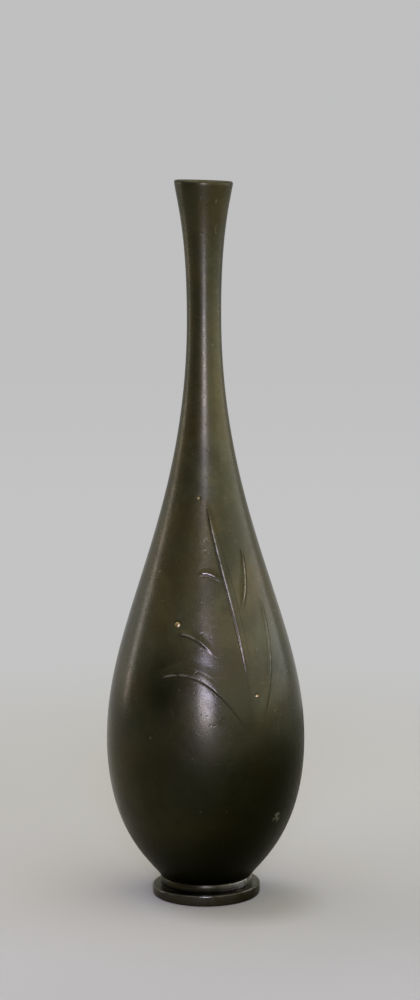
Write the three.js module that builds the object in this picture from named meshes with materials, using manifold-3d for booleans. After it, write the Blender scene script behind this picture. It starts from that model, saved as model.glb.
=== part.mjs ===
// Bronze bottle vase: a drop-shaped body, a slender flared neck let into its top and a turned
// foot ring below. Millimetres, +Z up, -Y is the front, and the origin is the centre of the
// face that the vase stands on.
import * as THREE from 'three';
import { mergeVertices } from 'three/addons/utils/BufferGeometryUtils.js';
import Module from 'manifold-3d';

const wasm = await Module();
wasm.setup();

// Outline of the vase, as radii and heights
const HEIGHT = 300;
const MOUTH_RADIUS = 12.1;
const WAIST_RADIUS = 7.1;
const WAIST_HEIGHT = 244.6;
const BELLY_RADIUS = 41.6;
const BELLY_HEIGHT = 67;
const BODY_FOOT_RADIUS = 18.98;

// How the curve leaves its two ends, in degrees above level
const BODY_FOOT_ANGLE = 59;
const MOUTH_ANGLE = 81;

// How far each end of a curved stretch pulls it straight, as a share of the stretch's height
const FOOT_PULL_RATIO = 0.116;
const BELLY_PULL_RATIO_BELOW = 0.68;
const BELLY_PULL_RATIO_ABOVE = 0.29;
const WAIST_PULL_RATIO_BELOW = 0.4725;
const WAIST_PULL_RATIO_ABOVE = 0.614;
const MOUTH_PULL_RATIO = 0.17;

// Walls and the joint between neck and body
const BODY_WALL = 2.6;
const NECK_WALL = 1.9;
const JOINT_HEIGHT = 195;
const JOINT_RIM = 1.7;
const NECK_SPIGOT_LENGTH = 9;
const NECK_SPIGOT_WALL = 1.7;
const NECK_SOLDER_HEIGHT = 0.8;
const COLLAR_HEIGHT = 1.5;
const COLLAR_TAPER = 4;

// Foot ring
const FOOT_RADIUS = 22.75;
const FOOT_HEIGHT = 8.1;
const BAND_HEIGHT = 4.2;
const BAND_EDGE = 0.8;
const SHELF_WIDTH = 3.75;
const MOULDING_RADIUS = 4.5;
const MOULDING_SETBACK = 3.4;
const MOULDING_SINK = 1.65;
const RIM_WIDTH = 5.75;
const BODY_SHOULDER = 2.38;
const BODY_SPIGOT_LENGTH = 2;
const BODY_SPIGOT_WALL = 1.7;
const FOOT_SOLDER_HEIGHT = 0.8;
const LEDGE_HEIGHT = 1.6;
const LEDGE_WIDTH = 3.5;

// Base plate and the fillet that holds it
const PLATE_THICKNESS = 1.6;
const PLATE_FILLET = 1.2;

// Plugs that close the holes of the core pins
const PLUG_RADIUS = 2.5;
const LOW_PLUG_HEIGHT = 38;
const HIGH_PLUG_HEIGHT = 132;
const PLUGS_AROUND = 3;
const LOW_PLUG_TURN = 51;
const HIGH_PLUG_TURN = 60;

// Gilt drops let into the front of the body, with their turn in degrees from the front
const HIGH_DROP_TURN = -9;
const HIGH_DROP_HEIGHT = 171;
const HIGH_DROP_RADIUS = 0.7;
const MIDDLE_DROP_TURN = -21;
const MIDDLE_DROP_HEIGHT = 121;
const MIDDLE_DROP_RADIUS = 1.2;
const LOW_DROP_TURN = 33;
const LOW_DROP_HEIGHT = 92;
const LOW_DROP_RADIUS = 0.8;
const DROP_DEPTH = 0.9;
const DROP_RISE = 0.35;

// Clearances: turned fits, and pieces set into a curved wall
const FIT = 0.15;
const SET_GAP = 0.3;

// Fineness of the model
const SIDES = 48;
const RINGS_UNDER_BELLY = 8;
const RINGS_OVER_BELLY = 15;
const BODY_RINGS_INSIDE = 15;
const NECK_RINGS_OUTSIDE = 15;
const NECK_RINGS_INSIDE = 10;
const CURVE_STEPS = 160;
const LIP_STEPS = 6;
const MOULDING_STEPS = 8;
const EDGE_STEPS = 2;
const SMALL_SIDES = 16;
const MERGE_DISTANCE = 1e-4;

const bronze = new THREE.MeshStandardMaterial({ color: 0x3b3422, roughness: 0.3, metalness: 0.9 });
const footBronze = new THREE.MeshStandardMaterial({ color: 0x3a3026, roughness: 0.34, metalness: 0.9 });
const plugBronze = new THREE.MeshStandardMaterial({ color: 0x47442e, roughness: 0.42, metalness: 0.8 });
const rawBronze = new THREE.MeshStandardMaterial({ color: 0x2c2419, roughness: 0.6, metalness: 0.7 });
const solder = new THREE.MeshStandardMaterial({ color: 0x8a7a4c, roughness: 0.45, metalness: 0.9 });
const gilt = new THREE.MeshStandardMaterial({ color: 0xc9a24a, roughness: 0.28, metalness: 1 });

// A point of a turned profile: distance from the axis, height
function at(radius, height) {
  return new THREE.Vector2(radius, height);
}

// A point some way from another, in a direction in degrees above level
function away(point, degrees, distance) {
  const angle = THREE.MathUtils.degToRad(degrees);
  return at(point.x + distance * Math.cos(angle), point.y + distance * Math.sin(angle));
}

// The outside of the vase from the foot ring to the lip, as three curved stretches
const LIP_RADIUS = NECK_WALL / 2;
const LIP_HEIGHT = HEIGHT - LIP_RADIUS;

function vaseOutline() {
  const foot = at(BODY_FOOT_RADIUS, FOOT_HEIGHT);
  const belly = at(BELLY_RADIUS, BELLY_HEIGHT);
  const waist = at(WAIST_RADIUS, WAIST_HEIGHT);
  const mouth = at(MOUTH_RADIUS, LIP_HEIGHT);
  const lower = belly.y - foot.y;
  const upper = waist.y - belly.y;
  const flare = mouth.y - waist.y;

  const fromFoot = away(foot, BODY_FOOT_ANGLE, FOOT_PULL_RATIO * lower);
  const underBelly = away(belly, -90, BELLY_PULL_RATIO_BELOW * lower);
  const overBelly = away(belly, 90, BELLY_PULL_RATIO_ABOVE * upper);
  const underWaist = away(waist, -90, WAIST_PULL_RATIO_BELOW * upper);
  const overWaist = away(waist, 90, WAIST_PULL_RATIO_ABOVE * flare);
  const toMouth = away(mouth, MOUTH_ANGLE, -MOUTH_PULL_RATIO * flare);

  const path = new THREE.Path();
  path.moveTo(foot.x, foot.y);
  path.bezierCurveTo(fromFoot.x, fromFoot.y, underBelly.x, underBelly.y, belly.x, belly.y);
  path.bezierCurveTo(overBelly.x, overBelly.y, underWaist.x, underWaist.y, waist.x, waist.y);
  path.bezierCurveTo(overWaist.x, overWaist.y, toMouth.x, toMouth.y, mouth.x, mouth.y);
  return path.getPoints(CURVE_STEPS);
}

const outline = vaseOutline();

function radiusAt(height) {
  const above = Math.max(1, outline.findIndex((point) => point.y >= height));
  const low = outline[above - 1];
  const high = outline[above];
  return THREE.MathUtils.mapLinear(height, low.y, high.y, low.x, high.x);
}

// Evenly spaced points of the outline between two heights, from the lower one up
function alongOutline(from, to, rings) {
  const between = outline.filter((point) => point.y > from && point.y < to);
  const stretch = new THREE.Path([at(radiusAt(from), from), ...between, at(radiusAt(to), to)]);
  return stretch.getSpacedPoints(rings);
}

// The inner face of a wall whose outer face is given from below
function insideOf(points, wall) {
  return points.map((point, i) => {
    const before = points[Math.max(i - 1, 0)];
    const after = points[Math.min(i + 1, points.length - 1)];
    const along = after.clone().sub(before).normalize();
    return at(point.x - along.y * wall, point.y + along.x * wall);
  });
}

function arc(centre, radius, fromDegrees, toDegrees, steps) {
  const points = [];
  for (let i = 0; i <= steps; i += 1) {
    points.push(away(centre, THREE.MathUtils.lerp(fromDegrees, toDegrees, i / steps), radius));
  }
  return points;
}

// Turns a closed profile about the upright axis; its outside is listed from below
function turned(profile) {
  const geometry = new THREE.LatheGeometry([...profile, profile[0]], SIDES);
  return geometry.rotateX(Math.PI / 2);
}

function ring(innerRadius, outerRadius, bottom, top) {
  return turned([
    at(outerRadius, bottom),
    at(outerRadius, top),
    at(innerRadius, top),
    at(innerRadius, bottom),
  ]);
}

// Neck joint: the neck's spigot stands in a socket in the body's top, on a ring of solder
const jointRadius = radiusAt(JOINT_HEIGHT);
const socketRadius = jointRadius - JOINT_RIM;
const neckSpigotRadius = socketRadius - FIT;
const neckBoreRadius = neckSpigotRadius - NECK_SPIGOT_WALL;
const neckSpigotEnd = JOINT_HEIGHT - NECK_SPIGOT_LENGTH;
const socketFloor = neckSpigotEnd - NECK_SOLDER_HEIGHT;

// Foot joint: the body's spigot stands in the foot ring and its shoulder rests on the ring
const bodySpigotRadius = BODY_FOOT_RADIUS - BODY_SHOULDER;
const bodySpigotBore = bodySpigotRadius - BODY_SPIGOT_WALL;
const bodySpigotEnd = FOOT_HEIGHT - BODY_SPIGOT_LENGTH;
const footSocketRadius = bodySpigotRadius + FIT;
const ledgeTop = bodySpigotEnd - FOOT_SOLDER_HEIGHT;
const ledgeUnderside = ledgeTop - LEDGE_HEIGHT;
const plateBore = FOOT_RADIUS - RIM_WIDTH;
const plateRadius = plateBore - FIT;
const plateUnderside = ledgeUnderside - PLATE_THICKNESS;

function neck() {
  const outside = alongOutline(JOINT_HEIGHT, LIP_HEIGHT, NECK_RINGS_OUTSIDE);
  const lip = arc(at(MOUTH_RADIUS - LIP_RADIUS, LIP_HEIGHT), LIP_RADIUS, 0, 180, LIP_STEPS);
  const inside = insideOf(alongOutline(JOINT_HEIGHT, LIP_HEIGHT, NECK_RINGS_INSIDE), NECK_WALL);
  const bore = inside.slice(0, -1).filter((p) => p.y > WAIST_HEIGHT || p.x < neckBoreRadius);
  return turned([
    ...outside.slice(0, -1),
    ...lip,
    ...bore.reverse(),
    at(neckBoreRadius, neckSpigotEnd),
    at(neckSpigotRadius, neckSpigotEnd),
    at(neckSpigotRadius, JOINT_HEIGHT),
  ]);
}

// The body's wall before the plug holes and the pockets for the gilt drops are cut
function bodyWall() {
  const collarFoot = socketFloor - COLLAR_HEIGHT;
  const underBelly = alongOutline(FOOT_HEIGHT, BELLY_HEIGHT, RINGS_UNDER_BELLY);
  const overBelly = alongOutline(BELLY_HEIGHT, JOINT_HEIGHT, RINGS_OVER_BELLY);
  const lined = alongOutline(FOOT_HEIGHT, collarFoot - COLLAR_TAPER, BODY_RINGS_INSIDE);
  return turned([
    ...underBelly.slice(0, -1),
    ...overBelly,
    at(socketRadius, JOINT_HEIGHT),
    at(socketRadius, socketFloor),
    at(neckBoreRadius, socketFloor),
    at(neckBoreRadius, collarFoot),
    ...insideOf(lined, BODY_WALL).reverse(),
    at(bodySpigotBore, FOOT_HEIGHT),
    at(bodySpigotBore, bodySpigotEnd),
    at(bodySpigotRadius, bodySpigotEnd),
    at(bodySpigotRadius, FOOT_HEIGHT),
  ]);
}

// A flat band with a shelf on top and a convex moulding above it outside; a ledge and a rebate
// inside. The moulding bulges most below the ring's top, where the body's curve meets it.
function footRing() {
  const shelfRadius = FOOT_RADIUS - SHELF_WIDTH;
  const mouldingCentre = at(
    FOOT_RADIUS - MOULDING_SETBACK - MOULDING_RADIUS,
    FOOT_HEIGHT - MOULDING_SINK,
  );
  const shelfReach = (shelfRadius - mouldingCentre.x) / MOULDING_RADIUS;
  const shelfTurn = -THREE.MathUtils.radToDeg(Math.acos(shelfReach));
  const topTurn = THREE.MathUtils.radToDeg(Math.asin(MOULDING_SINK / MOULDING_RADIUS));
  const edgeRadius = FOOT_RADIUS - BAND_EDGE;
  return turned([
    ...arc(at(edgeRadius, BAND_EDGE), BAND_EDGE, -90, 0, EDGE_STEPS),
    ...arc(at(edgeRadius, BAND_HEIGHT - BAND_EDGE), BAND_EDGE, 0, 90, EDGE_STEPS),
    at(shelfRadius, BAND_HEIGHT),
    ...arc(mouldingCentre, MOULDING_RADIUS, shelfTurn, topTurn, MOULDING_STEPS),
    at(footSocketRadius, FOOT_HEIGHT),
    at(footSocketRadius, ledgeTop),
    at(footSocketRadius - LEDGE_WIDTH, ledgeTop),
    at(footSocketRadius - LEDGE_WIDTH, ledgeUnderside),
    at(plateBore, ledgeUnderside),
    at(plateBore, 0),
  ]);
}

function basePlate() {
  const profile = [
    at(0, plateUnderside),
    at(plateRadius, plateUnderside),
    at(plateRadius, ledgeUnderside),
    at(0, ledgeUnderside),
  ];
  return new THREE.LatheGeometry(profile, SIDES).rotateX(Math.PI / 2);
}

function baseFillet() {
  return turned([
    at(plateRadius, plateUnderside - PLATE_FILLET),
    at(plateRadius, plateUnderside),
    at(plateRadius - PLATE_FILLET, plateUnderside),
  ]);
}

// Places something on the body's outside, with its own +Z square out of the surface
function onBody(turn, height) {
  const angle = THREE.MathUtils.degToRad(turn);
  const radius = radiusAt(height);
  const step = BODY_WALL / 2;
  const lean = (radiusAt(height + step) - radiusAt(height - step)) / (2 * step);
  const out = new THREE.Vector3(Math.sin(angle), -Math.cos(angle), -lean).normalize();
  const spot = new THREE.Vector3(radius * Math.sin(angle), -radius * Math.cos(angle), height);
  const facing = new THREE.Quaternion().setFromUnitVectors(new THREE.Vector3(0, 0, 1), out);
  return { spot, facing };
}

// A round cutter that enters the body square to its surface
function cutter(turn, height, radius, depth, proud) {
  const { spot, facing } = onBody(turn, height);
  const geometry = new THREE.CylinderGeometry(radius, radius, depth + proud, SMALL_SIDES);
  geometry.rotateX(Math.PI / 2);
  geometry.translate(0, 0, (proud - depth) / 2);
  geometry.applyQuaternion(facing);
  return toSolid(geometry.translate(spot.x, spot.y, spot.z));
}

function toSolid(geometry) {
  geometry.deleteAttribute('normal');
  geometry.deleteAttribute('uv');
  const merged = mergeVertices(geometry, MERGE_DISTANCE);
  const vertProperties = merged.attributes.position.array;
  const triVerts = Uint32Array.from(merged.index.array);
  return new wasm.Manifold(new wasm.Mesh({ numProp: 3, vertProperties, triVerts }));
}

function toGeometry(solid) {
  const { vertProperties, triVerts } = solid.getMesh();
  const geometry = new THREE.BufferGeometry();
  geometry.setAttribute('position', new THREE.BufferAttribute(vertProperties, 3));
  geometry.setIndex(new THREE.BufferAttribute(triVerts, 1));
  geometry.computeVertexNormals();
  return geometry;
}

function plugPlaces() {
  const places = [];
  for (let i = 0; i < PLUGS_AROUND; i += 1) {
    const step = (360 / PLUGS_AROUND) * i;
    places.push({ name: `low_core_plug_${i + 1}`, turn: LOW_PLUG_TURN + step, height: LOW_PLUG_HEIGHT });
    places.push({ name: `high_core_plug_${i + 1}`, turn: HIGH_PLUG_TURN + step, height: HIGH_PLUG_HEIGHT });
  }
  return places;
}

// A gilt drop: a short round peg with a low dome, its own origin on the body's surface
function giltDrop(radius) {
  const domeRadius = (radius * radius + DROP_RISE * DROP_RISE) / (2 * DROP_RISE);
  const domeEdge = THREE.MathUtils.radToDeg(Math.acos(radius / domeRadius));
  const dome = arc(at(0, DROP_RISE - domeRadius), domeRadius, domeEdge, 90, EDGE_STEPS + 1);
  const profile = [at(0, -DROP_DEPTH), at(radius, -DROP_DEPTH), ...dome.slice(0, -1), at(0, DROP_RISE)];
  return new THREE.LatheGeometry(profile, SMALL_SIDES).rotateX(Math.PI / 2);
}

const vase = new THREE.Group();

function add(name, geometry, material) {
  const mesh = new THREE.Mesh(geometry, material);
  mesh.name = name;
  vase.add(mesh);
  return mesh;
}

// Body, with a hole through the wall for each plug and a pocket for each drop
const wall = toSolid(bodyWall());
const throughWall = 2 * BODY_WALL;
let body = wall;
for (const plug of plugPlaces()) {
  const hole = cutter(plug.turn, plug.height, PLUG_RADIUS + SET_GAP, throughWall, BODY_WALL);
  const filling = cutter(plug.turn, plug.height, PLUG_RADIUS, throughWall, BODY_WALL);
  body = body.subtract(hole);
  add(plug.name, toGeometry(wall.intersect(filling)), plugBronze);
}
const drops = [
  { turn: HIGH_DROP_TURN, height: HIGH_DROP_HEIGHT, radius: HIGH_DROP_RADIUS },
  { turn: MIDDLE_DROP_TURN, height: MIDDLE_DROP_HEIGHT, radius: MIDDLE_DROP_RADIUS },
  { turn: LOW_DROP_TURN, height: LOW_DROP_HEIGHT, radius: LOW_DROP_RADIUS },
];
drops.forEach(({ turn, height, radius }, i) => {
  body = body.subtract(cutter(turn, height, radius + SET_GAP, DROP_DEPTH + SET_GAP, BODY_WALL));
  const { spot, facing } = onBody(turn, height);
  const drop = add(`gilt_drop_${i + 1}`, giltDrop(radius), gilt);
  drop.position.copy(spot);
  drop.quaternion.copy(facing);
});
add('body', toGeometry(body), bronze);

add('neck', neck(), bronze);
add('neck_solder_ring', ring(neckBoreRadius, neckSpigotRadius, socketFloor, neckSpigotEnd), solder);
add('foot_ring', footRing(), footBronze);
add('foot_solder_ring', ring(bodySpigotBore, bodySpigotRadius, ledgeTop, bodySpigotEnd), solder);
add('base_plate', basePlate(), rawBronze);
add('base_solder_fillet', baseFillet(), solder);

export default vase;
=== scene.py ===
import math
from collections import namedtuple

import bmesh
import bpy
import numpy as np
from mathutils import Matrix, Vector
from mathutils.geometry import interpolate_bezier


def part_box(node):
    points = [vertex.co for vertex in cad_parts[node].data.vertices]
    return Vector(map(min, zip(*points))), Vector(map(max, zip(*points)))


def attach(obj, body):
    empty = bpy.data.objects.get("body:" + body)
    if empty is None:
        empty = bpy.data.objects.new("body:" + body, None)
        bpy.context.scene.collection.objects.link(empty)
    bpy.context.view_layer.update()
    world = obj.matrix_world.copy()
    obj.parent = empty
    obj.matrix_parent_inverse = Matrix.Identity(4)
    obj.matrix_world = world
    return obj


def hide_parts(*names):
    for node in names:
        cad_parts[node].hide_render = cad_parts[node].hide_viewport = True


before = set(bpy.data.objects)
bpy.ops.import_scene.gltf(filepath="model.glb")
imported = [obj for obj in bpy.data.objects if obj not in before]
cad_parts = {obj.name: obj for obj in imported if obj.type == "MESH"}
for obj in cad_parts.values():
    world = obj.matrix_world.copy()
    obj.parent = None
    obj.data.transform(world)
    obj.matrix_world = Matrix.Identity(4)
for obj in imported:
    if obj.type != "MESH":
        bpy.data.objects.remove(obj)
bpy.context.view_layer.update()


# Foot ring
# A turned bronze ring, 45.5 mm across: a flat band with a shelf on top, and a convex moulding
# above it. The body's spigot is soldered into it. The band stands a little higher at the front
# right. The patina is dark and rubbed along the band's edge, with a painted highlight on the edge
# in front and painted light on the right of the edge and the moulding. Painted shade darkens the
# shelf and the left of the moulding, and the band is darker on the right.
MM = 0.001
FOOT_BAND_HEIGHT = 4.2 * MM
FOOT_BAND_EDGE = 0.8 * MM
FOOT_BAND_RISE = 0.30 * MM
FOOT_BAND_TILT = 0.60 * MM
FOOT_BAND_TILT_TURN = math.radians(62)
FOOT_SHELF_WIDTH = 3.75 * MM
FOOT_SHELF_FILLET = 0.15 * MM
FOOT_MOULDING_RADIUS = 4.5 * MM
FOOT_MOULDING_SETBACK = 3.4 * MM
FOOT_MOULDING_SINK = 1.65 * MM
FOOT_LEDGE_WIDTH = 3.5 * MM
FOOT_EDGE_STEPS = 6
FOOT_MOULDING_STEPS = 26
FOOT_TURN_STEPS = 200
TURNED_FIT = 0.15 * MM
SHARP_ANGLE = math.radians(38)
WELD_DISTANCE = 0.005 * MM

# Wax over bronze: how it reflects, how much metal shows, the tone of its drifts, its hairlines
WAX_IOR = 1.33
METAL_SHARE = 0.35
EDGE_TINT = (0.80, 0.79, 0.72, 1)
BROWNER = (1.14, 0.94, 0.74, 1)
HAIR_WIDTH = 0.0035
HAIR_SHINE = 0.25
WEAR_AND_SHEEN_METAL = 0.7

# Shares of rubbing, of painted highlight and light, and of dark patina and painted shade on the
# foot, and where its right side begins
FOOT_RIGHT_FROM = 0.25
FOOT_RIGHT_WIDTH = 0.6
EDGE_RUB_REACH = 1.2
EDGE_RUB_ROUND = 0.25
EDGE_HIGHLIGHT_FRONT = 0.75
EDGE_HIGHLIGHT_REACH = 3.2 * MM
EDGE_LIGHT_RIGHT = 0.6
MOULDING_LIGHT_RIGHT = 0.85
MOULDING_SHADE = (0.65, 0.10)
BAND_DARKENING = (0.40, 0.90)
SHELF_SHADE_BELOW = 0.1 * MM
SHELF_SHADE_ABOVE = 0.4 * MM


def begin_profile(bm, radius, height):
    return bm.verts.new((radius, 0, height))


def draw_on(bm, vert, *corners):
    """Draws a profile on, straight from corner to corner, each given as (radius, height)."""
    for radius, height in corners:
        vert = bmesh.ops.extrude_vert_indiv(bm, verts=[vert])["verts"][0]
        vert.co = (radius, 0, height)
    return vert


def arc_on(bm, vert, centre, degrees, steps):
    """Carries a profile on along a round arc about centre, given as (radius, height)."""
    swept = bmesh.ops.spin(
        bm, geom=[vert], cent=(centre[0], 0, centre[1]), axis=(0, -1, 0),
        angle=math.radians(degrees), steps=steps,
    )
    return swept["geom_last"][0]


def close_skin(bm):
    """Welds a turned skin where it meets itself, and faces it outwards."""
    bmesh.ops.remove_doubles(bm, verts=bm.verts[:], dist=WELD_DISTANCE)
    bmesh.ops.recalc_face_normals(bm, faces=bm.faces[:])


def turn_profile(bm, steps):
    """Turns a profile once about the upright axis into a closed skin."""
    bmesh.ops.spin(
        bm, geom=bm.verts[:] + bm.edges[:], cent=(0, 0, 0), axis=(0, 0, 1),
        angle=math.tau, steps=steps, use_merge=True,
    )
    close_skin(bm)


def make_mesh(name, bm, material):
    mesh = bpy.data.meshes.new(name)
    bm.to_mesh(mesh)
    bm.free()
    mesh.materials.append(material)
    return mesh


def make_object(name, data):
    thing = bpy.data.objects.new(name, data)
    bpy.context.scene.collection.objects.link(thing)
    return thing


def make_piece(name, bm, material, nodes):
    """Makes the finished mesh an object that stands for its CAD nodes and rides on the vase."""
    mesh = make_mesh(name, bm, material)
    mesh.shade_smooth()
    mesh.set_sharp_from_angle(angle=SHARP_ANGLE)
    piece = make_object(name, mesh)
    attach(piece, "root")
    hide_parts(*nodes)
    return piece


def points_of(piece):
    flat = np.empty(len(piece.data.vertices) * 3, np.float32)
    piece.data.vertices.foreach_get("co", flat)
    return flat.reshape(-1, 3).astype(float)


def move_points(piece, points):
    piece.data.vertices.foreach_set("co", points.astype(np.float32).ravel())
    piece.data.update()


def mark_points(piece, name, values):
    """Stores one number for each point of a piece, for its material to read."""
    layer = piece.data.attributes.new(name, "FLOAT", "POINT")
    layer.data.foreach_set("value", np.asarray(values, np.float32))


def feed(tree, node, values):
    """Feeds inputs of a node, each from another node's output or with a number or colour."""
    for key, value in values.items():
        if isinstance(value, bpy.types.NodeSocket):
            tree.links.new(value, node.inputs[key])
        else:
            node.inputs[key].default_value = value


def add_node(tree, kind, values=None, **settings):
    """Adds a shader node with its settings, and feeds its inputs."""
    node = tree.nodes.new(kind)
    for key, value in settings.items():
        setattr(node, key, value)
    feed(tree, node, values or {})
    return node


def object_place(tree):
    return add_node(tree, "ShaderNodeTexCoord").outputs["Object"]


def mix_colors(tree, factor, first, second, blend="MIX"):
    """Mixes two colours by a factor. A mix node takes them at its inputs 0, 6 and 7."""
    values = {0: factor, 6: first, 7: second}
    return add_node(tree, "ShaderNodeMix", values, data_type="RGBA", blend_type=blend).outputs[2]


def remap(tree, value, low, high, to_low=0.0, to_high=1.0):
    """Eases a value from one range to another, and holds it at the ends."""
    values = {
        "Value": value, "From Min": low, "From Max": high, "To Min": to_low, "To Max": to_high,
    }
    node = add_node(tree, "ShaderNodeMapRange", values, interpolation_type="SMOOTHSTEP")
    return node.outputs["Result"]


def arithmetic(tree, operation, first, second=0.0):
    values = {0: first, 1: second}
    return add_node(tree, "ShaderNodeMath", values, operation=operation).outputs[0]


def noise_of(tree, place, cell, detail=3.0, roughness=0.55, distortion=0.0):
    """Noise whose cells are about that many metres across."""
    values = {
        "Vector": place, "Scale": 1 / cell, "Detail": detail, "Roughness": roughness,
        "Distortion": distortion,
    }
    return add_node(tree, "ShaderNodeTexNoise", values).outputs["Fac"]


def patina_group():
    """Waxed bronze patina: browner drifts, clouds and specks of a shade tone, spots of verdigris,
    flecks of bare metal, pits, dents and hairline scratches. Where its wear mask is 1 it is rubbed
    bright, with painted highlights and painted light; where its shade mask is 1 it is dark metal
    with painted shade."""
    tree = bpy.data.node_groups.new("bronze_patina", "ShaderNodeTree")
    inputs = {
        "Ground": "Color", "Shade": "Color", "Verdigris": "Color", "Worn Metal": "Color",
        "Satin": "Float", "Share": "Float", "Worn": "Float", "Deep": "Float",
    }
    outputs = {"Color": "Color", "Roughness": "Float", "Metal": "Float", "Height": "Float"}
    for side, sockets in (("INPUT", inputs), ("OUTPUT", outputs)):
        for name, kind in sockets.items():
            tree.interface.new_socket(name=name, in_out=side, socket_type=f"NodeSocket{kind}")
    given = add_node(tree, "NodeGroupInput").outputs
    place = object_place(tree)

    def total(first, second):
        return arithmetic(tree, "ADD", first, second)

    def product(first, second):
        return arithmetic(tree, "MULTIPLY", first, second)

    def patches(cell, over, most=1.0, **noise):
        """Patches that rise from 0 to most as the noise goes over that range."""
        return remap(tree, noise_of(tree, place, cell, **noise), *over, 0.0, most)

    drift = patches(24 * MM, (0.40, 0.64), 0.75, detail=3, roughness=0.55, distortion=0.4)
    clouds = patches(30 * MM, (0.38, 0.66), 0.40, detail=4, roughness=0.6, distortion=0.6)
    spots = patches(7 * MM, (0.60, 0.76), 0.55, detail=5, roughness=0.62, distortion=0.3)
    specks = patches(0.9 * MM, (0.62, 0.76), 0.40, detail=2, roughness=0.5)
    flecks = patches(2.0 * MM, (0.75, 0.80), 0.30, detail=1, roughness=0.5)
    dents = patches(2.6 * MM, (0.66, 0.76), detail=1, roughness=0.5)
    pits = patches(0.55 * MM, (0.26, 0.40), detail=2, roughness=0.5)
    mottle = noise_of(tree, place, 3.2 * MM, detail=4, roughness=0.6)
    ripple = noise_of(tree, place, 9 * MM, detail=2, roughness=0.5)
    grain = noise_of(tree, place, 0.35 * MM, detail=3, roughness=0.6)

    # Hairlines run where a broad noise is at its middle value, and break off
    hair_noise = noise_of(tree, place, 17 * MM, detail=1)
    off_middle = arithmetic(tree, "ABSOLUTE", arithmetic(tree, "SUBTRACT", hair_noise, 0.5))
    hair_lines = remap(tree, off_middle, 0.0, HAIR_WIDTH, 1.0, 0.0)
    hairs = product(hair_lines, patches(5 * MM, (0.60, 0.66), detail=1))

    # Colour, from the ground up
    # The wear mask carries rubbed metal and painted highlights and light; the shade mask carries dark
    # patina and painted shade
    wear_and_sheen = product(given["Worn"], remap(tree, mottle, 0.40, 0.58, 0.25, 1.0))
    color = mix_colors(tree, drift, given["Ground"], BROWNER, "MULTIPLY")
    for mask, tone in (
        (clouds, "Shade"), (spots, "Verdigris"), (specks, "Shade"),
        (product(hairs, HAIR_SHINE), "Worn Metal"), (flecks, "Worn Metal"),
        (given["Deep"], "Shade"), (wear_and_sheen, "Worn Metal"),
    ):
        color = mix_colors(tree, mask, color, given[tone])

    # Roughness, the share of metal, and the height of the surface in mm
    roughness = given["Satin"]
    for more in (
        remap(tree, mottle, 0.3, 0.7, -0.03, 0.04), product(clouds, 0.06),
        remap(tree, given["Deep"], 0.34, 0.62, 0.0, 0.20), remap(tree, grain, 0.50, 0.62, 0.0, 0.08),
    ):
        roughness = total(roughness, more)
    waxed = product(
        remap(tree, given["Deep"], 0.0, 1.0, 1.0, 0.0),
        arithmetic(tree, "SUBTRACT", 1.0, given["Share"]),
    )
    metal = arithmetic(
        tree, "MAXIMUM", arithmetic(tree, "SUBTRACT", 1.0, waxed), product(wear_and_sheen, WEAR_AND_SHEEN_METAL),
    )
    height = product(pits, 0.010)
    for layer, relief in (
        (ripple, 0.030), (grain, 0.003), (mottle, 0.010), (hairs, -0.010), (dents, -0.025),
    ):
        height = total(height, product(layer, relief))

    made = {"Color": color, "Roughness": roughness, "Metal": metal, "Height": height}
    add_node(tree, "NodeGroupOutput", made)
    return tree


def new_material(name):
    material = bpy.data.materials.new(name)
    material.use_nodes = True
    return material


patina = patina_group()


def patina_material(name, ground, shade, verdigris, worn, satin, **masks):
    """A bronze finish of these tones. Each mask names the attribute that a socket reads."""
    material = new_material(name)
    tree = material.node_tree
    values = {
        "Ground": (*ground, 1), "Shade": (*shade, 1), "Verdigris": (*verdigris, 1),
        "Worn Metal": (*worn, 1), "Satin": satin, "Share": METAL_SHARE,
    }
    for socket, mask in masks.items():
        reader = add_node(tree, "ShaderNodeAttribute", attribute_name=mask)
        values[socket] = reader.outputs["Fac"]
    coat = add_node(tree, "ShaderNodeGroup", values, node_tree=patina).outputs
    relief = {"Height": coat["Height"], "Strength": 1.0, "Distance": MM}
    feed(tree, tree.nodes["Principled BSDF"], {
        "Base Color": coat["Color"], "Roughness": coat["Roughness"], "Metallic": coat["Metal"],
        "Normal": add_node(tree, "ShaderNodeBump", relief).outputs["Normal"],
        "IOR": WAX_IOR, "Specular Tint": EDGE_TINT,
    })
    return material


foot_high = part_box("foot_ring")[1]
plate_low, plate_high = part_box("base_plate")
spigot_low, spigot_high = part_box("foot_solder_ring")
foot_radius = foot_high.x
foot_height = foot_high.z
foot_socket = spigot_high.x + TURNED_FIT
foot_bore = foot_socket - FOOT_LEDGE_WIDTH
plate_bore = plate_high.x + TURNED_FIT
edge_radius = foot_radius - FOOT_BAND_EDGE
shelf_radius = foot_radius - FOOT_SHELF_WIDTH
moulding_centre = (
    foot_radius - FOOT_MOULDING_SETBACK - FOOT_MOULDING_RADIUS,
    foot_height - FOOT_MOULDING_SINK,
)
moulding_turn = math.acos((shelf_radius - moulding_centre[0]) / FOOT_MOULDING_RADIUS)
moulding_end = math.asin(FOOT_MOULDING_SINK / FOOT_MOULDING_RADIUS)
moulding_foot = moulding_centre[1] - FOOT_MOULDING_RADIUS * math.sin(moulding_turn)

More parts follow.
